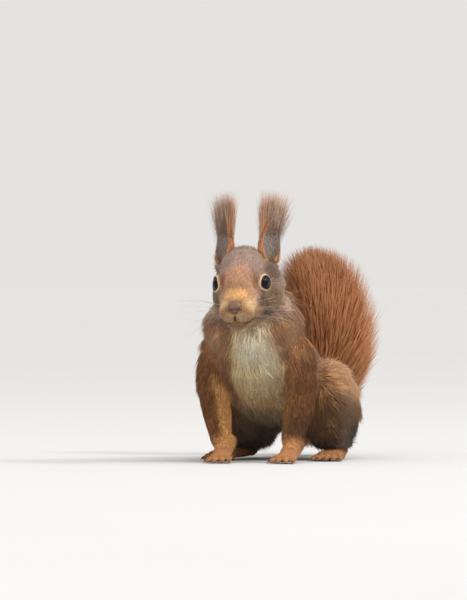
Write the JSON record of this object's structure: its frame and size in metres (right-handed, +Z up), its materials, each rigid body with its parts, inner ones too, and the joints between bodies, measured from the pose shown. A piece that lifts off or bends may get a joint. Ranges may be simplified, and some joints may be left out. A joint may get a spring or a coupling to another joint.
{
  "type": "red squirrel figure",
  "caption": "Life-size red squirrel, sitting up on straight forelegs with its haunches down, ears tufted and its bushy tail raised behind it.",
  "frame": {"origin": "on the floor, under the middle of the animal's bounding box", "axes": "+Z up; the animal's body faces -Y; its left side is towards +X"},
  "size_m": [0.0788, 0.21, 0.1455],
  "materials": {
    "coat": "short fur, chestnut above and creamy white on the throat and chest",
    "paw": "very short orange-brown fur with dark claws",
    "tail_hair": "long soft rust-brown hair",
    "nose_pad": "bare moist skin, slightly glossy",
    "eye": "wet near-black gloss"
  },
  "bodies": {
    "root": {"head": "coat", "nose": "nose_pad", "neck": "coat", "trunk": "coat", "eye_left": "eye", "eye_right": "eye", "ear_left": "coat", "ear_right": "coat", "upper_arm_left": "coat", "upper_arm_right": "coat", "forearm_left": "coat", "forearm_right": "coat", "forepaw_left": "paw", "forepaw_right": "paw", "thigh_left": "coat", "thigh_right": "coat", "shank_left": "coat", "shank_right": "coat", "hindfoot_left": "paw", "hindfoot_right": "paw", "tail_base": "tail_hair", "tail_middle": "tail_hair", "tail_tip": "tail_hair"}
  },
  "joints": []
}
